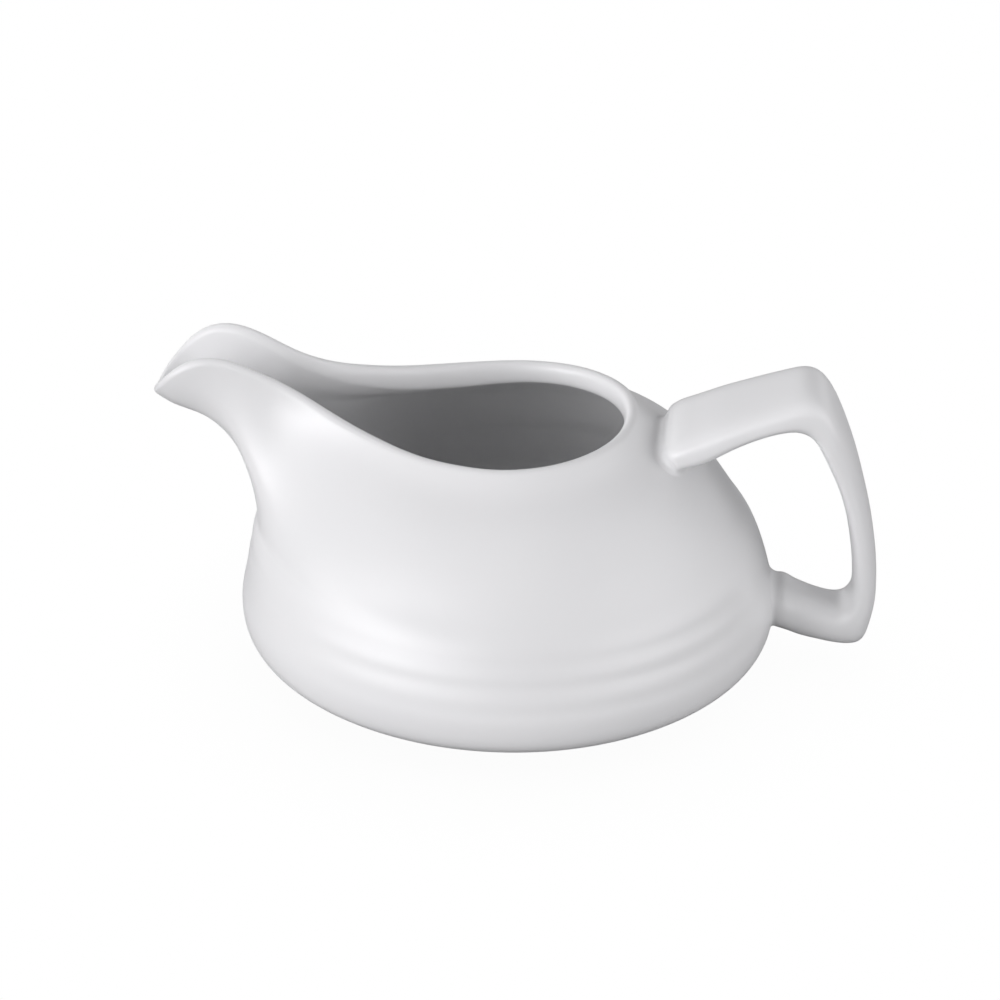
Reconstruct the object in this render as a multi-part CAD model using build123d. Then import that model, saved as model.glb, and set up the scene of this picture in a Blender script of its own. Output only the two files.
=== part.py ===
from build123d import *
import os
import numpy as np

# Gravy boat: a slip-cast porcelain bowl with an open pouring spout and a strap
# handle luted on at two joints.
#
# Frame: millimetres, +Z up. The origin is on the axis of the round bowl, at the
# level of the standing ring. +X points to the handle, -X to the spout, and the
# whole object is symmetric about the XZ plane. Section angles are degrees round
# the bowl's axis: 0 at the handle, 90 at +Y, 180 at the spout.

# ------------------------------------------------------------ driving dimensions
BELLY_R = 70.0            # largest radius of the bowl
SHOULDER_R = 66.1         # where the dome starts
SHOULDER_Z = 32.0
FOOT_R_OUT = 50.0         # standing ring
FOOT_R_IN = 45.5
FOOT_RECESS = 2.2         # depth of the recess inside the standing ring
RECESS_TAPER = 1.6        # how far the recess narrows towards its top
CUT_BELOW = 1.0           # how far the recess cutter reaches below the foot
CUT_MARGIN = 0.6          # extra radius of the cutter below the foot
WALL = 4.2                # wall thickness of the bowl
FLOOR_Z = 6.2             # height of the inside floor
GROOVE_Z = (20.7, 26.8, 32.1)   # three shallow turned grooves round the belly
GROOVE_DEPTH = 0.35
GROOVE_HALF = 2.3         # half width of a groove
GROOVE_FALLOFF = 1.6      # steepness of the bell-shaped groove profile
JOINT_PAD = 0.5           # slip layer between the handle and the wall
JOINT_LIFT = 1.5          # how far the slip stands up off the wall
JOINT_GROW = 1.3          # how far the slip stands out round the handle
JOINT_STATIONS = 4        # handle stations that each joint covers

# ------------------------------------------------------------------- bowl tables
# outside profile of the bowl below the shoulder: radius, height
LOW = np.array([
    (FOOT_R_OUT, 0.0), (51.6, 0.35), (54.6, 1.6), (59.6, 4.3), (65.2, 7.5),
    (69.0, 11.2), (BELLY_R, 15.6), (69.8, 19.6), (68.75, 23.8), (67.3, 28.6),
    (SHOULDER_R, SHOULDER_Z)])
# dome above the shoulder, on the handle side: radius, height
DOME = np.array([
    (SHOULDER_R, SHOULDER_Z), (63.9, 37.0), (61.1, 41.4), (56.7, 47.9), (52.5, 53.0),
    (47.6, 57.5), (43.5, 60.15), (40.0, 62.1), (37.2, 63.9), (35.2, 65.55),
    (33.7, 67.05), (32.43, 68.43)])
# inside profile of the bowl below the shoulder: radius, height
LOW_IN = np.array([
    (8.0, FLOOR_Z), (20, FLOOR_Z), (34, 6.3), (46, 6.9), (54.5, 8.8), (60.5, 11.9),
    (64.2, 15.8), (65.5, 19.8), (64.5, 24.2), (63.2, 28.3)])
# centre line of the rolled edge: section angle, X, Y, Z, edge radius
RIM = np.array([
    (0, 30.9, 0, 66.75, 2.1), (30, 27.4, 15.9, 66.55, 2.1),
    (60, 16.4, 28.3, 65.75, 2.1), (90, 0, 32.9, 64.8, 2.1),
    (105, -9.6, 31.5, 64.6, 2.1), (120, -20.5, 27.8, 64.85, 2.1),
    (132, -31, 22.4, 65.95, 2.05), (142, -41, 16.9, 67.95, 2.0),
    (150, -50, 12.3, 71.1, 1.9), (156, -57.5, 10.2, 74.95, 1.8),
    (161, -65, 10.3, 78.3, 1.7), (165, -72, 10.8, 80.7, 1.6),
    (168.5, -78, 11.2, 80.6, 1.6), (172, -83.3, 11.2, 77.6, 1.55),
    (175, -87.0, 9.1, 72.9, 1.5), (177.5, -89.2, 5.0, 69.2, 1.45),
    (180, -90.0, 0, 67.8, 1.4)])
# outward lean of the wall where it reaches the edge: section angle, lean
LEAN = np.array([
    (0, -0.93), (60, -0.93), (90, -0.93), (105, -0.92), (120, -0.86), (132, -0.70),
    (142, -0.46), (150, -0.20), (156, 0.02), (161, 0.17), (165, 0.28),
    (168.5, 0.38), (172, 0.66), (175, 1.3), (177.5, 2.3), (180, 2.9)])

# The spout wall leaves the dome at a crease and bows up to the edge.
CREASE_R, CREASE_Z = 63.45, 38.0
CREASE_OUT = 1.5              # the keel's root stands this much further out
CREASE_SPAN = (138, 172)      # section angles over which the root moves out
SPOUT_SPAN = (95, 152)        # section angles over which dome turns into spout
# spout wall: section angle, pull of the start and end tangents
PULL = np.array([
    (0, 14, 14), (90, 14, 14), (120, 14, 12), (142, 14, 12), (156, 16, 14),
    (165, 20, 14), (172, 22, 14), (180, 24, 20)])
START_PULL = 0.8              # share of the start pull that is used
# spout wall: section angle, radial slope where it leaves the crease
START_SLOPE = np.array([
    (0, -0.42), (100, -0.42), (130, -0.36), (150, -0.20), (165, -0.02),
    (180, 0.09)])

# section angles: close together round the spout, where the wall turns fast
ANGLES = np.r_[np.arange(0, 91, 15), np.arange(103, 150, 7), np.arange(152, 168, 3.5),
               np.arange(168, 180, 2), 180.0]
TURN = np.radians(ANGLES)

# rows of points in each part of the wall
N_LOW, N_UP, N_LIP, N_IN, N_LOW_IN = 34, 26, 7, 22, 14
N_CREASE = 4                  # upper rows between shoulder and crease
N_GROOVED = 8                 # upper rows that the grooves reach
N_FADE = 8                    # rows over which added thickness fades at the edge
GROW_FOOT = (0, 0.3, 0.7, 1)  # share of added thickness on the first rows
DENSE_FROM = 12               # first row of the stretch that is lofted in full

# ------------------------------------------------------------------ handle table
# handle stations: outer X, outer Z, inner X, inner Z, half width
STRAP = np.array([
    (38.8, 65.1, 42.6, 58.2, 15.4), (42.0, 67.4, 46.1, 59.8, 15.9),
    (46.5, 69.9, 50.5, 62.1, 15.8), (52.0, 72.5, 55.6, 64.7, 15.5),
    (58.0, 74.9, 61.1, 67.4, 15.0), (64.0, 77.2, 66.4, 69.8, 14.5),
    (69.5, 79.2, 70.4, 70.9, 14.0), (73.5, 80.3, 72.7, 70.8, 13.7),
    (77.0, 79.7, 74.5, 69.6, 13.4), (80.1, 76.7, 76.2, 67.4, 13.1),
    (82.9, 71.7, 78.1, 64.3, 12.7), (85.4, 66.7, 80.2, 60.7, 12.0),
    (87.9, 61.1, 82.4, 56.9, 11.2), (90.1, 54.4, 84.4, 52.0, 10.4),
    (92.1, 46.9, 86.2, 46.3, 9.6), (93.8, 39.5, 87.6, 40.0, 9.0),
    (95.0, 32.8, 88.6, 33.4, 8.6), (95.7, 26.5, 89.1, 27.6, 8.4),
    (95.9, 20.3, 88.6, 23.2, 8.2), (95.4, 13.9, 87.1, 20.5, 8.1),
    (92.8, 9.0, 85.0, 19.5, 8.0), (87.0, 7.8, 82.4, 19.8, 7.9),
    (81.2, 8.9, 78.9, 20.9, 7.9), (76.2, 10.3, 75.3, 22.0, 7.9),
    (72.0, 11.6, 72.0, 23.0, 8.0), (67.6, 12.2, 67.6, 23.7, 8.2)])
# Superellipse exponent of the sections: boxy at the top, rounder lower down.
# The change starts at 0.35 of the way along the stations and takes 0.3 of it.
ALONG = np.arange(len(STRAP)) / len(STRAP)
ROUNDNESS = 3.2 - 0.9 * np.clip((ALONG - 0.35) / 0.3, 0, 1)
SECTION_SAMPLES = 400         # fine samples of a half section
SECTION_STEPS = 24            # even steps kept from them

Z_AXIS = np.array([0, 0, 1.0])
MIRROR_Y = np.array([1, -1, 1.0])


# ---------------------------------------------------------------- curve helpers
def spline(knots, points, at):
    """Natural cubic spline through rows of points, sampled at the values in at."""
    count, gap = len(knots), np.diff(knots)
    matrix = np.zeros((count, count))
    rhs = np.zeros_like(points)
    matrix[0, 0] = matrix[-1, -1] = 1
    for i in range(1, count - 1):
        matrix[i, i - 1:i + 2] = gap[i - 1], 2 * (gap[i - 1] + gap[i]), gap[i]
        rhs[i] = 6 * ((points[i + 1] - points[i]) / gap[i]
                      - (points[i] - points[i - 1]) / gap[i - 1])
    bend = np.linalg.solve(matrix, rhs)
    j = np.clip(np.searchsorted(knots, at) - 1, 0, count - 2)
    width = gap[j][:, None]
    left = (knots[j + 1] - at)[:, None] / width
    right = (at - knots[j])[:, None] / width
    curve = (left**3 - left) * bend[j] + (right**3 - right) * bend[j + 1]
    return left * points[j] + right * points[j + 1] + curve * width**2 / 6


def blend(knots, values, at):
    """Monotone cubic interpolation of values over knots."""
    gap = np.diff(knots)
    slope = np.diff(values) / gap
    tangent = np.zeros_like(values)
    weight0, weight1 = 2 * gap[1:] + gap[:-1], gap[1:] + 2 * gap[:-1]
    same_way = slope[:-1] * slope[1:] > 0
    slope0 = np.where(same_way, slope[:-1], 1.0)
    slope1 = np.where(same_way, slope[1:], 1.0)
    mean = (weight0 + weight1) / (weight0 / slope0 + weight1 / slope1)
    tangent[1:-1] = np.where(same_way, mean, 0.0)
    j = np.clip(np.searchsorted(knots, at) - 1, 0, len(knots) - 2)
    t, width = (at - knots[j]) / gap[j], gap[j]
    return ((2 * t**3 - 3 * t**2 + 1) * values[j]
            + (t**3 - 2 * t**2 + t) * width * tangent[j]
            + (-2 * t**3 + 3 * t**2) * values[j + 1]
            + (t**3 - t**2) * width * tangent[j + 1])


def by_angle(table, column=1):
    """A table's column, interpolated at the section angles."""
    return blend(table[:, 0], table[:, column], ANGLES)


def chord_length(points):
    """Running length along a polyline."""
    return np.r_[0, np.cumsum(np.linalg.norm(np.diff(points, axis=0), axis=1))]


def even(points, count):
    """Points evenly spaced by length along the spline through points."""
    length = chord_length(points)
    return spline(length, points, np.linspace(0, length[-1], count))


def smooth_step(x, start, stop):
    t = np.clip((x - start) / (stop - start), 0, 1)
    return t**3 * (t * (6 * t - 15) + 10)


def unit(vectors):
    return vectors / np.linalg.norm(vectors, axis=-1, keepdims=True)


def ring(radius, z):
    """One point per section angle at the given radius and height."""
    return np.c_[radius * np.cos(TURN), radius * np.sin(TURN), 0 * TURN + z]


def turned(profile):
    """Profile of radius and height repeated at every section angle."""
    return np.stack([ring(radius, z) for radius, z in profile], 1)


# ------------------------------------------------------------------ bowl surface
def edge_frame():
    """Edge centres, wall directions up and outward, and edge radii, per angle."""
    # a few mirrored rows past each end keep the curve symmetric
    before, after = RIM[5:0:-1].copy(), RIM[-2:-7:-1].copy()
    before[:, [0, 2]] *= -1
    after[:, 0] = 360 - after[:, 0]
    after[:, 2] *= -1
    table = np.vstack([before, RIM, after])
    points = table[:, 1:4]
    length = chord_length(points)
    at = blend(table[:, 0], length, ANGLES)
    centre = spline(length, points, at)
    along = unit(spline(length, points, at + 0.05) - spline(length, points, at - 0.05))
    up = Z_AXIS + by_angle(LEAN)[:, None] * unit(np.cross(along, Z_AXIS))
    up -= np.sum(up * along, axis=1)[:, None] * along
    up = unit(up)
    return centre, up, np.cross(along, up), by_angle(table, 4)


def groove_depth(z):
    """Inward depth of the turned grooves at height z."""
    return sum(GROOVE_DEPTH * np.exp(-GROOVE_FALLOFF * ((z - centre) / GROOVE_HALF)**2)
               for centre in GROOVE_Z)


def upper_wall(end, edge_up):
    """Outside of the wall from the shoulder to the edge, one row per angle."""
    start = ring(SHOULDER_R, SHOULDER_Z)
    root = ring(CREASE_R + CREASE_OUT * smooth_step(ANGLES, *CREASE_SPAN), CREASE_Z)
    start_dir = unit(ring(by_angle(START_SLOPE), 1))
    control0 = root + START_PULL * by_angle(PULL, 1)[:, None] * start_dir
    control1 = end - by_angle(PULL, 2)[:, None] * edge_up
    dome = even(DOME, N_UP)
    u, v = ((dome - DOME[0]) / (DOME[-1] - DOME[0])).T
    dome_share = np.c_[u, u, v]
    spout_share = smooth_step(ANGLES, *SPOUT_SPAN)
    s = np.linspace(0, 1, 200)[:, None]
    crease_share = np.linspace(0, 1, N_CREASE + 1)[:-1, None]
    rows = np.zeros((len(ANGLES), N_UP, 3))
    for i, share in enumerate(spout_share):
        rise = start[i] + (end[i] - start[i]) * dome_share
        bow = ((1 - s)**3 * root[i] + 3 * s * (1 - s)**2 * control0[i]
               + 3 * s * s * (1 - s) * control1[i] + s**3 * end[i])
        below = start[i] + (root[i] - start[i]) * crease_share
        spout = np.vstack([below, even(bow, N_UP - N_CREASE)])
        rows[i] = (1 - share) * rise + share * spout
    return rows


def grid_normals(grid):
    """Outward normals of a half grid, mirrored across the XZ plane at its ends."""
    wrapped = np.concatenate([grid[1:2] * MIRROR_Y, grid, grid[-2:-1] * MIRROR_Y])
    around = wrapped[2:] - wrapped[:-2]
    rising = np.empty_like(grid)
    rising[:, 1:-1] = grid[:, 2:] - grid[:, :-2]
    rising[:, 0] = grid[:, 1] - grid[:, 0]
    rising[:, -1] = grid[:, -1] - grid[:, -2]
    return unit(np.cross(around, rising))


def wall_grid(grow):
    """Half of the wall's skin, from the foot up, over the edge and down to the floor."""
    centre, edge_up, edge_out, edge_r = edge_frame()
    edge_r = edge_r[:, None]
    upper = upper_wall(centre + edge_r * edge_out, edge_up)
    grooved = upper[:, :N_GROOVED]
    radial = unit(grooved * np.array([1, 1, 0.0]))
    upper[:, :N_GROOVED] = grooved - groove_depth(grooved[..., 2])[..., None] * radial

    low = even(LOW, N_LOW)[:-1]
    low[:, 0] -= groove_depth(low[:, 1])
    outer = np.concatenate([turned(low), upper], 1)
    normals = grid_normals(outer)
    normals[:, -1] = edge_out
    grow_share = np.ones(outer.shape[1])
    grow_share[-N_FADE:] = np.linspace(1, 0, N_FADE)
    grow_share[:len(GROW_FOOT)] = GROW_FOOT
    skin = outer + normals * (grow * grow_share)[None, :, None]

    roll = np.linspace(0, np.pi, N_LIP + 2)[1:-1]
    lip = np.stack([centre + edge_r * (edge_out * np.cos(angle) + edge_up * np.sin(angle))
                    for angle in roll], 1)

    # the wall thickness runs into the edge diameter
    thickness = WALL + (2 * edge_r - WALL) * np.linspace(0, 1, N_UP)
    inner = upper - normals[:, -N_UP:] * thickness[..., None]
    inner[:, -1] = centre - edge_r * edge_out
    inner = np.stack([even(row, N_IN) for row in inner])[:, ::-1]
    low_inner = turned(even(LOW_IN, N_LOW_IN))[:, ::-1]

    grid = np.concatenate([skin, lip, inner, low_inner], 1)
    grid[[0, -1], :, 1] = 0.0
    return grid


def wall_solid(grow=0.0):
    """Closed wall: rings lofted up the outside, over the edge and down inside."""
    half = wall_grid(grow)
    full = np.concatenate([half, (half * MIRROR_Y)[-2:0:-1]], 0)
    last = half.shape[1] - 1
    picks = [*range(0, DENSE_FROM, 2), *range(DENSE_FROM, N_LOW), *range(N_LOW, last, 3), last]
    rings = [Wire(Edge.make_spline([Vector(*map(float, p)) for p in full[:, j]], periodic=True))
             for j in picks]
    return Solid.make_loft(rings)


def foot_cutter():
    """Recess under the bowl that leaves the flat standing ring."""
    with BuildSketch(Plane.XZ) as sketch:
        with BuildLine():
            Polyline((0, -CUT_BELOW), (FOOT_R_IN + CUT_MARGIN, -CUT_BELOW),
                     (FOOT_R_IN + CUT_MARGIN, 0), (FOOT_R_IN, 0),
                     (FOOT_R_IN - RECESS_TAPER, FOOT_RECESS), (0, FOOT_RECESS),
                     (0, -CUT_BELOW))
        make_face()
    return revolve(sketch.sketch, axis=Axis.Z)


# ----------------------------------------------------------------------- handle
def strap_section(station, exponent, grow):
    """Closed wire of one rounded section: an outer and an inner curve."""
    outer, inner, half_width = station[:2], station[2:4], station[4]
    middle, half = (outer + inner) / 2, (outer - inner) / 2
    half_depth = np.hypot(*half)
    angle = np.linspace(0, np.pi, SECTION_SAMPLES)
    cos, sin = np.cos(angle), np.sin(angle)
    y = (half_width + grow) * np.sign(cos) * np.abs(cos)**(2 / exponent)
    depth = (half_depth + grow) * np.abs(sin)**(2 / exponent)
    length = chord_length(np.c_[y, depth])
    steps = np.linspace(0, length[-1], SECTION_STEPS + 1)
    y, depth = np.interp(steps, length, y), np.interp(steps, length, depth)
    depth[[0, -1]] = 0.0

    def curve(side):
        x, z = middle[:, None] + half[:, None] / half_depth * side * depth
        return [Vector(*map(float, p)) for p in zip(x, y, z)]

    return Wire([Edge.make_spline(curve(1)), Edge.make_spline(curve(-1)[::-1])])


def strap_solid(part=slice(None), grow=0.0):
    """Strap lofted through the chosen stations."""
    return Solid.make_loft([strap_section(station, exponent, grow)
                            for station, exponent in zip(STRAP[part], ROUNDNESS[part])])


# --------------------------------------------------------------------- assembly
body = wall_solid() - foot_cutter()
handle = strap_solid() - wall_solid(JOINT_PAD)
lift = wall_solid(JOINT_LIFT)


def slip_joint(part):
    """Slip pad under one end of the handle, with the bead that stands round it."""
    return (strap_solid(part, JOINT_GROW) & lift) - body - handle


pieces = {
    "body": body,
    "handle": handle,
    "upper_handle_joint": slip_joint(slice(None, JOINT_STATIONS)),
    "lower_handle_joint": slip_joint(slice(-JOINT_STATIONS, None)),
}

os.makedirs("parts", exist_ok=True)
for name, shape in pieces.items():
    # a cut can leave slivers, so only the largest solid is kept
    piece = max(shape.solids(), key=lambda solid: solid.volume)
    piece.label = name
    export_step(piece, f"parts/{name}.step")
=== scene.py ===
# Porcelain gravy boat with a strap handle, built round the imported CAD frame.
# It stands on z = 0 with the bowl's axis on Z, the handle towards +X and the spout towards -X.
# It is symmetric about y = 0. Angles run in degrees about Z from the handle (0) to the spout (180).
# Lengths are in millimetres until the meshes are made; stage and camera are in metres.
import bpy
import math
import numpy as np
from mathutils import Matrix, Vector
from mathutils.bvhtree import BVHTree
from mathutils.interpolate import poly_3d_calc


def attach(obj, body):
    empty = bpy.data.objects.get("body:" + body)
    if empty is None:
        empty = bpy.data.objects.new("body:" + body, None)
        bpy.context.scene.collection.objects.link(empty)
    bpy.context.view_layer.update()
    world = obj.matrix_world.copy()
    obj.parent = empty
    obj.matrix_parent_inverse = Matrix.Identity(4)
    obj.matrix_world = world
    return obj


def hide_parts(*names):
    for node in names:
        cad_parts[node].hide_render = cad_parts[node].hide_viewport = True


MM = 0.001
UP = np.array([0, 0, 1.0])
FLAT = np.array([1, 1, 0.0])       # keeps the horizontal part of a vector
MIRROR = np.array([1, -1, 1.0])    # reflects a point in y = 0

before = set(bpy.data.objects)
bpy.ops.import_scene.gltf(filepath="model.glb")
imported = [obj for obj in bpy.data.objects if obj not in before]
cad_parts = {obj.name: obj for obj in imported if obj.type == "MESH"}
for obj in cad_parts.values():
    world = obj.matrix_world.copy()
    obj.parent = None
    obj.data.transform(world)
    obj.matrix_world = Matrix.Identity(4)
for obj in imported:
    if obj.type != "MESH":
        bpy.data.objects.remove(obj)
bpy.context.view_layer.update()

# ------------------------------------------------------------------ bowl dimensions
SHOULDER_R, SHOULDER_Z = 66.1, 32.0
CREASE_R, CREASE_Z = 63.45, 38.0   # where the spout's keel leaves the dome
CREASE_SPREAD = 1.5                # extra crease radius under the spout
CREASE_BULGE = 0.12                # outward bow between shoulder and crease
WALL = 4.2
WAIST_THINNING = 0.8               # wall thickness lost just below the edge
RING_Z, RING_DEPTH, RING_HALF = (20.7, 26.8, 32.1), 0.25, 2.5   # turned grooves

# Outlines as (radius, z)
UNDERSIDE = np.array([             # recess under the bowl and rounded standing ring
    (0.6, 2.2), (8, 2.2), (18, 2.2), (28, 2.2), (36, 2.2), (41, 2.2), (42.8, 2.17),
    (43.7, 2.0), (44.3, 1.6), (44.75, 1.0), (45.1, 0.45), (45.5, 0.12), (46.0, 0.0),
    (47.0, 0.0), (48.2, 0.0), (49.2, 0.0), (49.9, 0.02), (50.4, 0.1)])
BELLY = np.array([                 # outside, from the foot to the shoulder
    (50.0, 0.0), (51.6, 0.35), (54.6, 1.6), (59.6, 4.3), (65.2, 7.5),
    (69.0, 11.2), (70.0, 15.6), (69.8, 19.6), (68.75, 23.8), (67.3, 28.6),
    (SHOULDER_R, SHOULDER_Z)])
DOME = np.array([                  # outside, from the shoulder to the edge
    (SHOULDER_R, SHOULDER_Z), (63.75, 37.0), (60.65, 41.4), (56.2, 47.9), (52.1, 53.0),
    (47.5, 57.6), (43.5, 60.4), (40.0, 62.4), (37.2, 64.1), (35.2, 65.65),
    (33.7, 67.1), (32.43, 68.43)])
INSIDE_FLOOR = np.array([          # inside, from the centre to below the shoulder
    (0.0, 6.2), (8.0, 6.2), (20, 6.2), (34, 6.3), (46, 6.9), (54.5, 8.8), (60.5, 11.9),
    (64.2, 15.8), (65.5, 19.8), (64.5, 24.2), (63.2, 28.3)])
# Edge of the bowl: angle, centre of the rounded edge (x, y, z), its radius
RIM = np.array([
    (0, 30.9, 0, 66.75, 2.1), (30, 27.4, 15.9, 66.55, 2.1),
    (60, 16.4, 28.3, 65.75, 2.1), (90, 0, 32.9, 64.8, 2.1),
    (105, -9.6, 31.5, 64.6, 2.1), (120, -20.5, 27.8, 64.85, 2.1),
    (132, -30.75, 22.42, 66.04, 2.05), (142, -40.66, 16.92, 68.2, 2.0),
    (150, -49.76, 12.17, 71.22, 1.9), (156, -57.8, 10.17, 74.71, 1.8),
    (161, -64.94, 10.45, 78.08, 1.7), (165, -72.05, 10.93, 80.54, 1.6),
    (168.5, -77.76, 11.37, 80.31, 1.6), (172, -82.5, 11.24, 77.93, 1.55),
    (175, -87.0, 9.35, 73.6, 1.45), (177.5, -89.6, 5.1, 70.35, 1.3),
    (180, -90.05, 0, 69.5, 1.15)], float)
# Angle, outward lean of the wall at the edge
EDGE_LEAN = np.array([
    (0, -0.93), (60, -0.93), (90, -0.93), (105, -0.92), (120, -0.86), (132, -0.70),
    (142, -0.46), (150, -0.24), (156, -0.08), (161, -0.01), (165, 0.035),
    (168.5, 0.06), (172, 0.13), (175, 0.43), (177.5, 1.16), (180, 2.2)])
# Angle, outward lean of the wall at the crease
CREASE_LEAN = np.array([
    (0, -0.42), (100, -0.42), (130, -0.36), (150, -0.20), (165, -0.03), (180, 0.06)])
# Angle, length of the wall curve's control arm at the crease and at the edge
WALL_ARMS = np.array([
    (0, 14, 14), (90, 14, 14), (120, 14, 12), (142, 14, 12), (156, 15.8, 13.8),
    (161, 18.5, 13), (165, 21.1, 12.5), (168.5, 22.8, 10.9), (172, 25, 10.2),
    (176, 28, 13.3), (180, 31.8, 18)], float)
CREASE_ARM_SHARE = 0.8             # share of the crease arm that is used
# Angle, how far the edge's upright face drops on the inside
INNER_DROP = np.array([
    (0, 1.9), (80, 1.9), (100, 2.3), (115, 2.8), (130, 2.9), (145, 2.3), (160, 1.0), (180, 0.0)])
# Angle, fraction of the wall's height where that drop begins
INNER_DROP_START = np.array([(0, 0.90), (90, 0.88), (120, 0.80), (145, 0.72), (180, 0.70)])
# z, radius added to the outside on the spout side
SPOUT_SIDE_TRIM = np.array([
    (-1, 0), (4, 0), (10, -0.15), (16, -0.3), (21, -0.5), (26, -0.1), (30, 0.45), (34, 0.75),
    (36.5, 0.6), (39.5, 0), (200, 0)])

# Mesh stations: angles round half the bowl and point counts along each part
ANGLES = np.r_[np.arange(0, 90, 1.5), np.arange(90, 150, 1.0), np.arange(150, 168, 0.5),
               np.arange(168, 180, 0.3), 180.0]
N_BELLY, N_WALL, N_LIP, N_INSIDE, N_FLOOR = 115, 96, 15, 66, 34
N_CREASE = round(0.13 * N_WALL)    # wall points between the shoulder and the crease

# ------------------------------------------------------------------ handle dimensions
# Strap stations from the bowl's edge round to the belly, in the plane y = 0:
# outer face (x, z), inner face (x, z), half-width along y
STRAP = np.array([
    (38.8, 65.1, 42.8, 59.0, 15.4), (41.71, 67.93, 46.2, 60.2, 15.9),
    (46.37, 70.15, 50.67, 61.77, 15.8), (51.96, 72.58, 55.53, 64.85, 15.5),
    (57.98, 74.95, 60.93, 67.82, 15), (63.98, 77.27, 66.36, 69.91, 14.5),
    (69.48, 79.42, 70.44, 70.57, 14), (73.53, 80.63, 72.65, 70.18, 13.7),
    (77.07, 79.96, 74.45, 69.38, 13.4), (80.19, 76.92, 76.34, 67.73, 13.1),
    (83.07, 71.96, 78.27, 64.56, 12.7), (85.45, 66.76, 80.2, 60.7, 12),
    (87.74, 60.98, 82.14, 56.7, 11.2), (89.92, 54.32, 84.14, 51.89, 10.4),
    (92.1, 46.9, 85.97, 46.28, 9.6), (93.82, 39.5, 87.47, 40.01, 9),
    (95, 32.8, 88.69, 33.39, 8.6), (95.65, 26.51, 89.41, 27.55, 8.4),
    (95.79, 20.35, 89.34, 22.91, 8.2), (95.06, 14.17, 87.54, 20.15, 8.1),
    (93.01, 8.72, 84.83, 19.73, 8), (87.02, 7.75, 82.24, 20.22, 7.9),
    (81.26, 8.59, 78.84, 21.23, 7.9), (76.25, 9.69, 75.25, 22.67, 7.9),
    (72, 11.64, 72, 23.4, 8), (67.6, 12.2, 67.6, 23.7, 8.2)])
FIRST_STATION = 0.75               # the strap starts between stations 0 and 1
N_STRAP, N_SECTION = 300, 128      # rings along the strap, points round each
SQUARENESS, SQUARENESS_LOSS = 3.2, 0.9   # section exponent at the top, and its fall
CAP_BULGE, CAP_INSET_THICK, CAP_INSET_WIDE = 3.2, 2.4, 6.5   # rounded top end
COLLAR_AT, COLLAR_HALF = 4.2, 2.6  # distance from the lower end, half-length
COLLAR_OUTER, COLLAR_INNER, COLLAR_WIDE = 0.45, 0.75, 0.5    # swelling of each face

# Slip joints: fillet radius grows from least by gain between two heights
UPPER_JOINT = dict(low_z=59.0, high_z=62.5, least=1.1, gain=1.3)
LOWER_JOINT = dict(low_z=18.5, high_z=23.5, least=1.0, gain=1.8)
N_JOINT, N_JOINT_ARC, JOINT_SEARCH = 220, 12, 150   # sections, arc steps, rings searched
FEATHER, FEATHER_SINK = 0.35, 0.05   # run-out of the joint's edges, and how far they sink
EDGE_DEPTH, ROOT_DEPTH = 0.4, 0.8    # buried depth behind the edges and the angle


# ------------------------------------------------------------------ curve helpers
def spline(x, y, wanted):
    """Natural cubic spline through the values y at x; y may have several columns."""
    x, y, wanted = np.asarray(x, float), np.asarray(y, float), np.asarray(wanted, float)
    single = y.ndim == 1
    if single:
        y = y[:, None]
    n, gap = len(x), np.diff(x)
    matrix = np.zeros((n, n))
    target = np.zeros_like(y)
    matrix[0, 0] = matrix[-1, -1] = 1
    for i in range(1, n - 1):
        matrix[i, i - 1:i + 2] = gap[i - 1], 2 * (gap[i - 1] + gap[i]), gap[i]
        target[i] = 6 * ((y[i + 1] - y[i]) / gap[i] - (y[i] - y[i - 1]) / gap[i - 1])
    bend = np.linalg.solve(matrix, target)
    j = np.clip(np.searchsorted(x, wanted) - 1, 0, n - 2)
    span = gap[j][:, None]
    before, after = (x[j + 1] - wanted)[:, None] / span, (wanted - x[j])[:, None] / span
    curve = ((before**3 - before) * bend[j] + (after**3 - after) * bend[j + 1]) * span**2 / 6
    result = before * y[j] + after * y[j + 1] + curve
    return result[:, 0] if single else result


def blend(x, y, wanted):
    """Cubic through y at x that never overshoots and is level at both ends."""
    x, y, wanted = np.asarray(x, float), np.asarray(y, float), np.asarray(wanted, float)
    gap, rise = np.diff(x), np.diff(y) / np.diff(x)
    slope = np.zeros_like(y)
    weight0, weight1 = 2 * gap[1:] + gap[:-1], gap[1:] + 2 * gap[:-1]
    same_way = rise[:-1] * rise[1:] > 0
    rise0, rise1 = np.where(same_way, rise[:-1], 1.0), np.where(same_way, rise[1:], 1.0)
    mean = (weight0 + weight1) / (weight0 / rise0 + weight1 / rise1)
    slope[1:-1] = np.where(same_way, mean, 0.0)
    j = np.clip(np.searchsorted(x, wanted) - 1, 0, len(x) - 2)
    t, span = (wanted - x[j]) / gap[j], gap[j]
    return ((2 * t**3 - 3 * t**2 + 1) * y[j] + (t**3 - 2 * t**2 + t) * span * slope[j]
            + (-2 * t**3 + 3 * t**2) * y[j + 1] + (t**3 - t**2) * span * slope[j + 1])


def at_angles(table, column=1):
    return blend(table[:, 0], table[:, column], ANGLES)


def lengths(points):
    """Running length along a line of points."""
    return np.r_[0, np.cumsum(np.linalg.norm(np.diff(points, axis=0), axis=1))]


def even(points, count):
    """Smooth line through the points, evenly spaced."""
    run = lengths(points)
    return spline(run, points, np.linspace(0, run[-1], count))


def even_loop(points, count):
    """Closed polyline through the points, evenly spaced."""
    closed = np.vstack([points, points[:1]])
    run = lengths(closed)
    wanted = np.linspace(0, run[-1], count + 1)[:-1]
    return np.stack([np.interp(wanted, run, axis) for axis in closed.T], 1)


def smooth_step(x, start, end):
    t = np.clip((x - start) / (end - start), 0, 1)
    return t**3 * (t * (6 * t - 15) + 10)


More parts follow.
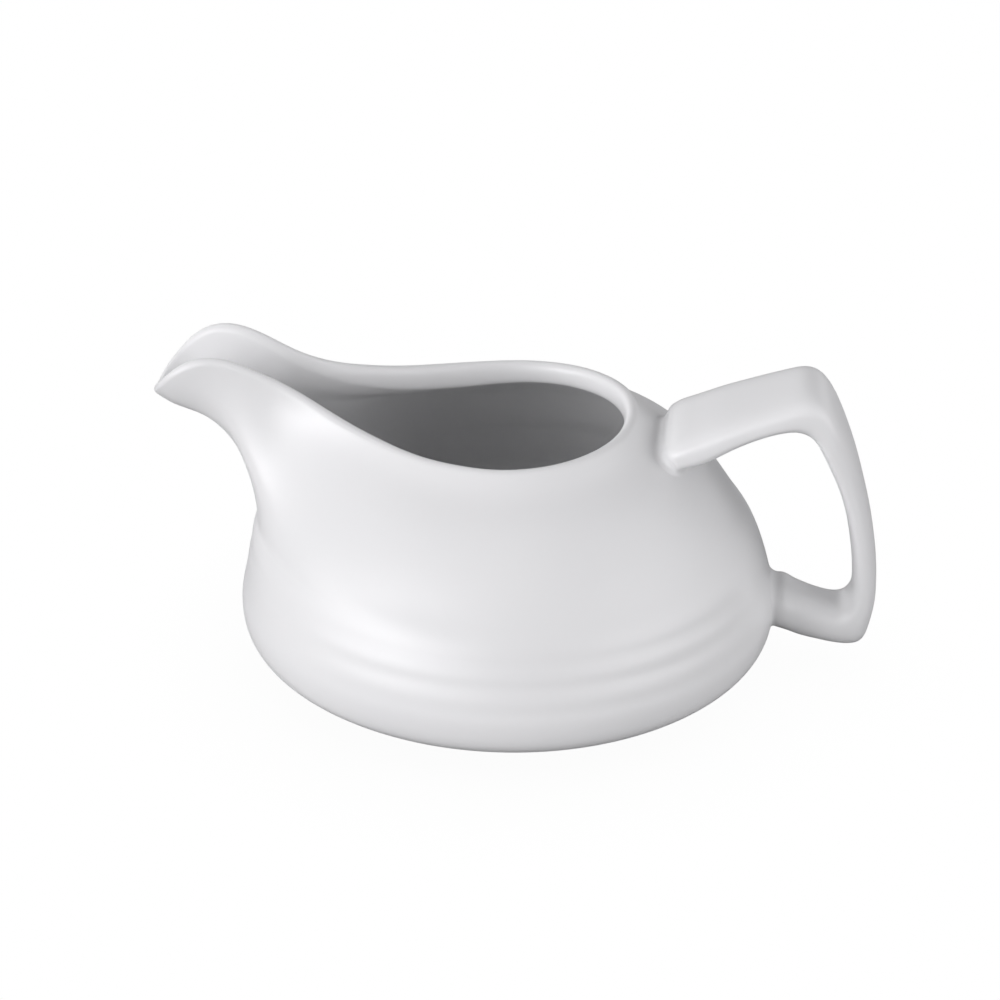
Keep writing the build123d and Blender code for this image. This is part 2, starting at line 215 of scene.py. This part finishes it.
def smooth_loop(values, times):
    for _ in range(times):
        values = 0.25 * np.roll(values, 1, 0) + 0.5 * values + 0.25 * np.roll(values, -1, 0)
    return values


def unit(v):
    return v / np.maximum(np.linalg.norm(v, axis=-1, keepdims=True), 1e-12)


# ------------------------------------------------------------------ mesh helpers
def ring_faces(rings, n, wrap=False):
    """Quads between closed rings of n points; wrap joins the last ring to the first."""
    faces = []
    for i in range(rings if wrap else rings - 1):
        here, there = i * n, (i + 1) % rings * n
        for j in range(n):
            k = (j + 1) % n
            faces.append((here + j, here + k, there + k, there + j))
    return faces


def closed_skin(rings, first_pole, last_pole):
    """Closed mesh of a stack of rings with a fan to a point at each end."""
    count, n = rings.shape[:2]
    verts = np.vstack([rings.reshape(-1, 3), [first_pole], [last_pole]])
    faces = ring_faces(count, n)
    first, last = count * n, count * n + 1
    base = (count - 1) * n
    for j in range(n):
        k = (j + 1) % n
        faces.append((first, k, j))
        faces.append((last, base + j, base + k))
    return verts, faces


# ------------------------------------------------------------------ bowl
def rim_frame():
    """Centre, direction and radius of the rounded edge at each angle."""
    before, after = RIM[1:6][::-1].copy(), RIM[-6:-1][::-1].copy()
    before[:, 0] *= -1
    after[:, 0] = 360 - after[:, 0]
    before[:, 2] *= -1
    after[:, 2] *= -1
    full = np.vstack([before, RIM, after])
    points = full[:, 1:4]
    run = lengths(points)
    place_on = blend(full[:, 0], run, ANGLES)
    centre = spline(run, points, place_on)
    along = spline(run, points, place_on + 0.05) - spline(run, points, place_on - 0.05)
    return centre, unit(along), blend(full[:, 0], full[:, 4], ANGLES)


def upper_wall():
    """Outer wall from shoulder to edge, and the edge's centre, up, outward and radius."""
    rim, along, radius = rim_frame()
    away = unit(np.cross(along, UP))
    rim_up = UP + at_angles(EDGE_LEAN)[:, None] * away
    rim_up -= np.sum(rim_up * along, axis=1)[:, None] * along
    rim_up = unit(rim_up)
    rim_out = np.cross(along, rim_up)
    rim_out *= np.sign(np.sum(rim_out * away, axis=1))[:, None]
    end = rim + radius[:, None] * rim_out

    a = np.radians(ANGLES)
    start = np.c_[SHOULDER_R * np.cos(a), SHOULDER_R * np.sin(a), 0 * a + SHOULDER_Z]
    crease_r = CREASE_R + CREASE_SPREAD * smooth_step(ANGLES, 138, 172)
    crease = np.c_[crease_r * np.cos(a), crease_r * np.sin(a), 0 * a + CREASE_Z]
    crease_dir = np.c_[np.cos(a), np.sin(a), 0 * a] * at_angles(CREASE_LEAN)[:, None]
    crease_dir = unit(crease_dir + UP)
    crease_arm, rim_arm = at_angles(WALL_ARMS, 1), at_angles(WALL_ARMS, 2)
    dome = even(DOME, N_WALL)
    dome_in, dome_up = ((dome - DOME[0]) / (DOME[-1] - DOME[0])).T
    # the turned dome gives way to the drawn-out spout
    spout = smooth_step(ANGLES, 95, 152)
    s = np.linspace(0, 1, 200)[:, None]
    part = np.linspace(0, 1, N_CREASE + 1)[:-1, None]
    rows = np.zeros((len(ANGLES), N_WALL, 3))
    for i in range(len(ANGLES)):
        step = end[i] - start[i]
        turned = start[i] + np.c_[step[0] * dome_in, step[1] * dome_in, step[2] * dome_up]
        control1 = crease[i] + CREASE_ARM_SHARE * crease_arm[i] * crease_dir[i]
        control2 = end[i] - rim_arm[i] * rim_up[i]
        bow = ((1 - s)**3 * crease[i] + 3 * s * (1 - s)**2 * control1
               + 3 * s * s * (1 - s) * control2 + s**3 * end[i])
        foot = start[i] + (crease[i] - start[i]) * part
        foot = foot + unit(foot * FLAT) * (CREASE_BULGE * np.sin(math.pi * part))
        drawn = np.vstack([foot, even(bow, N_WALL - N_CREASE)])
        rows[i] = (1 - spout[i]) * turned + spout[i] * drawn
    return fair(rows), rim, rim_up, rim_out, radius


def fair(rows, width=2.6):
    """Even the wall out sideways round the spout, leaving the crease and the edge in place."""
    near = ANGLES > 120
    around_spout = np.r_[ANGLES[near], 360 - ANGLES[near][-2::-1]]
    both_sides = np.concatenate([rows[near], rows[near][-2::-1] * MIRROR])
    weight = np.exp(-0.5 * ((ANGLES[:, None] - around_spout[None]) / width)**2)
    weight = weight * np.gradient(around_spout)[None]
    weight /= np.maximum(weight.sum(1, keepdims=True), 1e-12)
    averaged = np.einsum("ij,jkc->ikc", weight, both_sides)
    s = np.linspace(0, 1, rows.shape[1])
    middle = smooth_step(s, 0.12, 0.38) * (1 - smooth_step(s, 0.66, 0.97))
    share = smooth_step(ANGLES, 136, 156)[:, None] * middle[None]
    return rows + (averaged - rows) * share[..., None]


def row_normals(grid):
    mirrored = np.concatenate([grid[1:2] * MIRROR, grid, grid[-2:-1] * MIRROR])
    sideways = mirrored[2:] - mirrored[:-2]
    upward = np.empty_like(grid)
    upward[:, 1:-1] = grid[:, 2:] - grid[:, :-2]
    upward[:, 0] = grid[:, 1] - grid[:, 0]
    upward[:, -1] = grid[:, -1] - grid[:, -2]
    return unit(np.cross(sideways, upward))


def revolve(outline):
    a = np.radians(ANGLES)
    return np.stack([np.c_[r * np.cos(a), r * np.sin(a), 0 * a + z] for r, z in outline], 1)


def turn_outside(wall):
    """Cut the turned grooves and trim the belly on the spout side."""
    outward = unit(wall * FLAT)
    z = wall[..., 2]
    grooves = sum(RING_DEPTH * np.exp(-1.6 * ((z - ring_z) / RING_HALF)**2) for ring_z in RING_Z)
    # the grooves fade out under the handle, under the spout and above the shoulder
    fade = (smooth_step(ANGLES, 6, 34) * (1 - 0.45 * smooth_step(ANGLES, 80, 108))
            * (1 - smooth_step(ANGLES, 108, 146)))[:, None]
    wall = wall - outward * (grooves * fade * (1 - smooth_step(z, 36, 40)))[..., None]
    trim = blend(SPOUT_SIDE_TRIM[:, 0], SPOUT_SIDE_TRIM[:, 1], z)
    return wall + outward * (trim * smooth_step(ANGLES, 120, 165)[:, None])[..., None]


def bowl_grid():
    """Half of the closed bowl skin: recess, standing ring, outside, edge, inside, floor."""
    wall, rim, rim_up, rim_out, radius = upper_wall()
    belly = even(BELLY, N_BELLY + 1)[:-1]
    belly = belly[belly[:, 0] + 3 * belly[:, 1] > 51.4]   # clear of the standing ring
    belly = turn_outside(revolve(belly))
    outer = np.concatenate([revolve(UNDERSIDE), belly, turn_outside(wall)], 1)

    # rounded edge, whose inside is a short upright face with a crisp lower corner
    turn = np.linspace(0, math.pi, N_LIP + 2)[1:-1]
    lip = rim[:, None] + radius[:, None, None] * (
        rim_out[:, None] * np.cos(turn)[None, :, None]
        + rim_up[:, None] * np.sin(turn)[None, :, None])
    drop = at_angles(INNER_DROP)[:, None]
    lip[..., 2] -= drop * smooth_step(turn, math.pi * 0.45, math.pi)[None]

    # inside of the wall, a little thinner just below the edge except at the spout
    s = np.linspace(0, 1, N_WALL)
    thin = WAIST_THINNING * np.exp(-((s - 0.84) / 0.11)**2)
    thickness = WALL + (2 * radius[:, None] - WALL) * s[None]
    thickness = thickness - thin[None] * (1 - smooth_step(ANGLES, 118, 160))[:, None]
    inner = wall - row_normals(wall) * thickness[..., None]
    inner[:, -1] = rim - radius[:, None] * rim_out
    inner[..., 2] -= drop * smooth_step(s[None], at_angles(INNER_DROP_START)[:, None], 1.0)
    inner = np.stack([even(row, N_INSIDE) for row in inner])[:, ::-1]

    floor_rows = revolve(even(INSIDE_FLOOR, N_FLOOR)[1:])
    grid = np.concatenate([outer, lip, inner, floor_rows[:, ::-1]], 1)
    grid[[0, -1], :, 1] = 0.0
    return grid


def build_bowl():
    half = bowl_grid()
    full = np.concatenate([half, (half * MIRROR)[-2:0:-1]], 0)
    rings = full.transpose(1, 0, 2)
    return closed_skin(rings, [0, 0, full[0, 0, 2]], [0, 0, full[0, -1, 2]])


# ------------------------------------------------------------------ handle
def section_loop(station, exponent, inset_thick=0.0, inset_wide=0.0):
    """Closed rounded section of the strap, starting on the outer side at y = 0."""
    a = np.linspace(0, 2 * math.pi, 1601)[:-1]
    outer, inner = station[:2], station[2:4]
    middle, half = (outer + inner) / 2, (outer - inner) / 2
    size = np.hypot(*half)
    wide = np.sign(np.sin(a)) * np.abs(np.sin(a))**(2 / exponent)
    thick = np.sign(np.cos(a)) * np.abs(np.cos(a))**(2 / exponent)
    outline = np.c_[(station[4] - inset_wide) * wide, (size - inset_thick) * thick]
    y, depth = even_loop(outline, N_SECTION).T
    return np.c_[middle[0] + half[0] / size * depth, y, middle[1] + half[1] / size * depth]


def shrink(ring, shares):
    centre = ring.mean(0)
    return [centre + (ring - centre) * share for share in shares]


def strap_rings():
    count = len(STRAP)
    middle = (STRAP[:, :2] + STRAP[:, 2:4]) / 2
    run = lengths(middle)
    index = np.arange(count, dtype=float)
    start = float(np.interp(FIRST_STATION, index, run))
    fine = spline(run, index, np.linspace(start, run[-1], N_STRAP))
    fine[0], fine[-1] = FIRST_STATION, count - 1
    stations = spline(index, STRAP, fine)
    exponent_key = SQUARENESS - SQUARENESS_LOSS * np.clip((index / count - 0.35) / 0.3, 0, 1)
    exponents = np.interp(fine, index, exponent_key)

    # slight collar where the arm meets the belly
    distance = np.linalg.norm((stations[:, :2] + stations[:, 2:4]) / 2 - middle[-1], axis=1)
    collar = np.exp(-((distance - COLLAR_AT) / COLLAR_HALF)**2) * (fine > 18)
    across = unit(stations[:, :2] - stations[:, 2:4])
    stations[:, :2] += COLLAR_OUTER * collar[:, None] * across
    stations[:, 2:4] -= COLLAR_INNER * collar[:, None] * across
    stations[:, 4] += COLLAR_WIDE * collar
    rings = [section_loop(*pair) for pair in zip(stations, exponents)]

    # rounded cap over the top end
    first, fifth = stations[0], stations[4]
    outward = (first[:2] + first[2:4]) / 2 - (fifth[:2] + fifth[2:4]) / 2
    outward = outward / np.hypot(*outward)
    cap = []
    for turn in np.linspace(0, math.pi / 2, 17)[1:]:
        inset = 1 - math.cos(turn)
        ring = section_loop(first, exponents[0], CAP_INSET_THICK * inset, CAP_INSET_WIDE * inset)
        cap.append(ring + np.array([outward[0], 0, outward[1]]) * CAP_BULGE * math.sin(turn))
    cap += shrink(cap[-1], (0.75, 0.5, 0.25, 0.08))
    tail = shrink(rings[-1], (0.97, 0.7, 0.35, 0.08))
    return np.array(cap[::-1] + rings + tail)


def build_handle():
    rings = strap_rings()
    verts, faces = closed_skin(rings, rings[0].mean(0), rings[-1].mean(0))
    # these rings run the other way round, so each face is turned over
    return verts, [(f[0],) + f[:0:-1] for f in faces], rings


# ------------------------------------------------------------------ slip joints
class Surface:
    """Signed distance and smooth normal of a closed mesh, in millimetres."""

    def __init__(self, verts, faces):
        self.verts = [Vector(p) for p in verts]
        self.faces = faces
        self.tree = BVHTree.FromPolygons(self.verts, faces)
        normals = np.zeros((len(verts), 3))
        for face in faces:
            p = verts[list(face)]
            face_normal = np.cross(p[2] - p[0], p[-1] - p[1])
            for i in face:
                normals[i] += face_normal
        self.normals = unit(normals)

    def at(self, point):
        """Signed distance, smooth normal and nearest surface point."""
        nearest, face_normal, i, distance = self.tree.find_nearest(Vector(point))
        face = self.faces[i]
        weights = poly_3d_calc([self.verts[k] for k in face], nearest)
        normal = np.zeros(3)
        for k, weight in zip(face, weights):
            normal += self.normals[k] * weight
        normal /= max(np.linalg.norm(normal), 1e-9)
        nearest = np.array(nearest)
        side = 1.0 if np.dot(np.array(point) - nearest, np.array(face_normal)) >= 0 else -1.0
        return side * distance, normal, nearest


def crossing_line(bowl, rings):
    """Points where the strap's long lines come out of the bowl."""
    points = []
    for line in rings[:JOINT_SEARCH].swapaxes(0, 1):
        last = None
        for point in line:
            gap = bowl.at(point)[0]
            if last is not None and gap > 0 >= last[0]:
                points.append(last[1] + -last[0] / (gap - last[0]) * (point - last[1]))
                break
            last = (gap, point)
    return np.array(points)


def rolling_centre(bowl, strap, point, along, radius):
    """Centre of a ball that touches both surfaces, in the section through the point."""
    bowl_out, strap_out = bowl.at(point)[1], strap.at(point)[1]
    centre = point + radius * (bowl_out + strap_out) / max(1 + float(bowl_out @ strap_out), 0.35)
    for _ in range(10):
        bowl_gap, bowl_out = bowl.at(centre)[:2]
        strap_gap, strap_out = strap.at(centre)[:2]
        slopes = np.array([bowl_out - along * (bowl_out @ along),
                           strap_out - along * (strap_out @ along)])
        error = np.array([radius - bowl_gap, radius - strap_gap])
        step = slopes.T @ np.linalg.solve(slopes @ slopes.T + 1e-4 * np.eye(2), error)
        size = np.linalg.norm(step)
        centre = centre + step * min(1.0, 1.0 / max(size, 1e-9))
        if size < 1e-3:
            break
    return centre


def arc_between(centre, start, end):
    """Arc about the centre, its radius easing from the start's to the end's."""
    arm0, arm1 = start - centre, end - centre
    size0, size1 = np.linalg.norm(arm0), np.linalg.norm(arm1)
    arm0, arm1 = arm0 / size0, arm1 / size1
    angle = math.acos(float(np.clip(arm0 @ arm1, -1, 1)))
    arc = []
    for s in np.linspace(0, 1, N_JOINT_ARC + 1):
        if angle < 1e-3:
            arm = arm0
        else:
            arm = math.sin((1 - s) * angle) * arm0 + math.sin(s * angle) * arm1
            arm = arm / math.sin(angle)
        arc.append(centre + arm * ((1 - s) * size0 + s * size1))
    return arc


def feather(touch, neighbour, normal):
    """Point that carries the arc's end on, just under the surface."""
    away = unit(touch - neighbour)
    away = unit(away - normal * (away @ normal))
    return touch + away * FEATHER - normal * FEATHER_SINK


def fillet(bowl, strap, rings, low_z, high_z, least, gain):
    """Concave bead of slip rolled into the angle between the strap and the bowl."""
    loop = smooth_loop(even_loop(crossing_line(bowl, rings), N_JOINT), 3)
    along = unit(np.roll(loop, -1, 0) - np.roll(loop, 1, 0))
    radii = smooth_loop(least + gain * smooth_step(loop[:, 2], low_z, high_z), 12)
    centres = [rolling_centre(bowl, strap, *spot) for spot in zip(loop, along, radii)]
    centres = smooth_loop(np.array(centres), 4)
    sections = []
    for point, centre in zip(loop, centres):
        _, bowl_out, on_bowl = bowl.at(centre)
        _, strap_out, on_strap = strap.at(centre)
        arc = arc_between(centre, on_bowl, on_strap)
        bowl_edge = feather(on_bowl, arc[1], bowl_out)
        strap_edge = feather(on_strap, arc[-2], strap_out)
        root = point - ROOT_DEPTH * unit(bowl_out + strap_out)
        sections.append([bowl_edge - bowl_out * EDGE_DEPTH, bowl_edge] + arc
                        + [strap_edge, strap_edge - strap_out * EDGE_DEPTH, root])
    sections = np.array(sections)
    verts = sections.reshape(-1, 3)
    faces = ring_faces(*sections.shape[:2], wrap=True)
    # face outward: the arc must look away from the buried root
    corner, beside, _, across = verts[list(faces[3])]
    outward = sections[0][8] - sections[0][-1]
    if np.dot(np.cross(beside - corner, across - corner), outward) < 0:
        faces = [face[::-1] for face in faces]
    return verts, faces


# ------------------------------------------------------------------ node helpers
def empty_tree(owner):
    owner.use_nodes = True
    owner.node_tree.nodes.clear()
    return owner.node_tree


def node(tree, kind, inputs={}, **settings):
    """Add a shader node; each input, by name or number, takes a value or a socket to link."""
    added = tree.nodes.new("ShaderNode" + kind)
    for key, value in settings.items():
        setattr(added, key, value)
    for key, value in inputs.items():
        if isinstance(value, bpy.types.NodeSocket):
            tree.links.new(value, added.inputs[key])
        else:
            added.inputs[key].default_value = value
    return added


# ------------------------------------------------------------------ materials
def noise(tree, position, scale, detail, roughness):
    return node(tree, "TexNoise", {"Vector": position, "Scale": scale, "Detail": detail,
                                   "Roughness": roughness}).outputs["Fac"]


def bare_foot(tree, position, colour, roughness):
    """Leave the underside of the standing ring unglazed; gives the new colour and roughness."""
    split = node(tree, "SeparateXYZ", {0: position})
    flat = node(tree, "CombineXYZ", {"X": split.outputs["X"], "Y": split.outputs["Y"]})
    from_axis = node(tree, "VectorMath", {0: flat.outputs[0]}, operation="LENGTH")
    # mask in metres: the lowest 0.3 mm or so, outside the recess
    low = node(tree, "MapRange", {
        "From Min": 0.00022, "From Max": 0.00034, "To Min": 1.0, "To Max": 0.0,
        "Value": split.outputs["Z"]})
    outside = node(tree, "MapRange", {
        "From Min": 0.040, "From Max": 0.041, "Value": from_axis.outputs["Value"]})
    mask = node(tree, "Math", {0: low.outputs["Result"], 1: outside.outputs["Result"]},
                operation="MULTIPLY").outputs[0]
    bare = node(tree, "Mix", {"Factor": mask, "A": colour}, data_type="RGBA")
    grain = noise(tree, position, scale=900.0, detail=3.0, roughness=0.6)
    clay = node(tree, "Mix", {
        "A": (0.70, 0.675, 0.63, 1), "B": (0.80, 0.785, 0.75, 1), "Factor": grain},
        data_type="RGBA")
    tree.links.new(clay.outputs["Result"], bare.inputs["B"])
    matt = node(tree, "Mix", {"Factor": mask, "A": roughness, "B": 0.85}, data_type="FLOAT")
    return bare.outputs["Result"], matt.outputs["Result"]


def porcelain(name, foot=False):
    material = bpy.data.materials.new(name)
    tree = empty_tree(material)
    output = node(tree, "OutputMaterial")
    shader = node(tree, "BsdfPrincipled", {"IOR": 1.5})
    tree.links.new(shader.outputs["BSDF"], output.inputs["Surface"])
    position = node(tree, "TexCoord").outputs["Object"]

    # very slight cloudiness of the fired body
    clouds = noise(tree, position, scale=28.0, detail=2.0, roughness=0.45)
    contrast = node(tree, "MapRange", {"From Min": 0.3, "From Max": 0.7, "Value": clouds})
    colour = node(tree, "Mix", {
        "A": (0.772, 0.773, 0.779, 1), "B": (0.786, 0.786, 0.790, 1),
        "Factor": contrast.outputs["Result"]}, data_type="RGBA").outputs["Result"]

    # glaze surface: long soft waves and a faint orange peel, heights in metres
    waves = noise(tree, position, scale=42.0, detail=1.0, roughness=0.4)
    peel = noise(tree, position, scale=520.0, detail=1.0, roughness=0.5)
    wave_bump = node(tree, "Bump", {"Strength": 1.0, "Distance": 0.00012, "Height": waves})
    peel_bump = node(tree, "Bump", {
        "Strength": 1.0, "Distance": 0.0000035, "Height": peel,
        "Normal": wave_bump.outputs["Normal"]})
    tree.links.new(peel_bump.outputs["Normal"], shader.inputs["Normal"])
    roughness = node(tree, "MapRange", {
        "To Min": 0.29, "To Max": 0.35, "Value": clouds}).outputs["Result"]
    if foot:
        colour, roughness = bare_foot(tree, position, colour, roughness)
    tree.links.new(roughness, shader.inputs["Roughness"])
    tree.links.new(colour, shader.inputs["Base Color"])
    return material


def floor_material():
    """White to the camera with faint contact shading, mid grey to every other ray."""
    material = bpy.data.materials.new("stage_floor")
    tree = empty_tree(material)
    output = node(tree, "OutputMaterial")
    path = node(tree, "LightPath")
    mix = node(tree, "MixShader", {"Fac": path.outputs["Is Camera Ray"]})
    bounce = node(tree, "BsdfDiffuse", {"Color": (0.30, 0.30, 0.30, 1)})
    white = node(tree, "Emission", {"Color": (1, 1, 1, 1)})
    contact = node(tree, "AmbientOcclusion", {"Distance": 0.035}, samples=16)
    strength = node(tree, "MapRange", {
        "To Min": 0.965, "To Max": 1.0, "Value": contact.outputs["AO"]})
    tree.links.new(strength.outputs["Result"], white.inputs["Strength"])
    tree.links.new(bounce.outputs[0], mix.inputs[1])
    tree.links.new(white.outputs[0], mix.inputs[2])
    tree.links.new(mix.outputs[0], output.inputs["Surface"])
    return material


# ------------------------------------------------------------------ the pieces
def place(name, shape, replaced, material):
    verts, faces = shape
    mesh = bpy.data.meshes.new(name)
    mesh.from_pydata([tuple(v) for v in verts * MM], [], faces)
    mesh.validate()
    mesh.update()
    mesh.shade_smooth()
    piece = bpy.data.objects.new(name, mesh)
    bpy.context.scene.collection.objects.link(piece)
    mesh.materials.append(material)
    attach(piece, "root")
    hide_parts(replaced)


bowl_shape = build_bowl()
*handle_shape, strap_grid = build_handle()
bowl_surface, strap_surface = Surface(*bowl_shape), Surface(*handle_shape)
upper_joint = fillet(bowl_surface, strap_surface, strap_grid, **UPPER_JOINT)
lower_joint = fillet(bowl_surface, strap_surface, strap_grid[::-1], **LOWER_JOINT)

bowl_glaze = porcelain("porcelain_glaze_bowl", foot=True)
glaze = porcelain("porcelain_glaze_handle")
place("bowl", bowl_shape, "body", bowl_glaze)
place("strap_handle", handle_shape, "handle", glaze)
place("upper_slip_joint", upper_joint, "upper_handle_joint", glaze)
place("lower_slip_joint", lower_joint, "lower_handle_joint", glaze)

# ------------------------------------------------------------------ stage
bpy.ops.mesh.primitive_plane_add(size=8.0, location=(0, 0, -0.00002))
floor = bpy.context.object
floor.name = "floor"
floor.data.materials.append(floor_material())

# Soft studio light as smooth lobes on the sky:
# azimuth and elevation in degrees, sharpness, strength
LOBES = [
    (240, 8, 12, 3.809), (210, 8, 12, 4.678), (330, 8, 12, 2.731), (0, 8, 12, 1.736),
    (15, 38, 12, 1.006), (225, 20, 60, 2.378), (165, 38, 12, 0.993), (345, 38, 12, 0.547),
    (120, 66, 12, 0.303), (120, 8, 12, 1.244), (135, 38, 12, 0.325), (60, 8, 12, 0.932),
    (105, 38, 12, 0.139),
]
LIGHT_TINT = (0.99, 0.985, 1.0, 1)


def build_world():
    """Plain white to the camera; the light lobes to every other ray."""
    world = bpy.data.worlds.new("studio")
    bpy.context.scene.world = world
    tree = empty_tree(world)
    output = node(tree, "OutputWorld")
    mix = node(tree, "MixShader")
    path = node(tree, "LightPath")
    seen = node(tree, "Background", {"Color": (1, 1, 1, 1), "Strength": 1.0})
    light = node(tree, "Background", {"Color": LIGHT_TINT})
    sky = node(tree, "TexCoord").outputs["Generated"]
    total = None
    for azimuth, elevation, sharpness, strength in LOBES:
        az, el = math.radians(azimuth), math.radians(elevation)
        towards = (math.cos(az) * math.cos(el), math.sin(az) * math.cos(el), math.sin(el))
        facing = node(tree, "VectorMath", {0: sky, 1: towards}, operation="DOT_PRODUCT")
        front = node(tree, "Math", {0: facing.outputs["Value"], 1: 0.0}, operation="MAXIMUM")
        lobe = node(tree, "Math", {0: front.outputs[0], 1: sharpness}, operation="POWER")
        added = node(tree, "Math", {0: lobe.outputs[0], 1: strength, 2: 0.0},
                     operation="MULTIPLY_ADD")
        if total is not None:
            tree.links.new(total, added.inputs[2])
        total = added.outputs[0]
    tree.links.new(total, light.inputs["Strength"])
    tree.links.new(path.outputs["Is Camera Ray"], mix.inputs["Fac"])
    tree.links.new(light.outputs[0], mix.inputs[1])
    tree.links.new(seen.outputs[0], mix.inputs[2])
    tree.links.new(mix.outputs[0], output.inputs["Surface"])


def build_camera():
    """Long lens from the -Y side, looking down at the boat."""
    lens = bpy.data.cameras.new("camera")
    camera = bpy.data.objects.new("camera", lens)
    bpy.context.scene.collection.objects.link(camera)
    right = Vector((0.99448589, 0.10364879, 0.01596063))
    upward = Vector((-0.06189944, 0.4572996, 0.88715587))
    forward = Vector((-0.08465384, 0.88325195, -0.4611938))
    turn = Matrix((right, upward, -forward)).transposed()
    place_at = Vector((0.04583045, -0.50359188, 0.30476226))
    camera.matrix_world = Matrix.Translation(place_at) @ turn.to_4x4()
    lens.sensor_fit = "HORIZONTAL"
    lens.sensor_width = 36.0
    lens.lens = 79.144
    lens.clip_start = 0.01
    lens.clip_end = 20.0
    bpy.context.scene.camera = camera


build_world()
build_camera()
view = bpy.context.scene.view_settings
view.view_transform = "Standard"
view.look = "None"
view.exposure = 0.0
view.gamma = 1.0
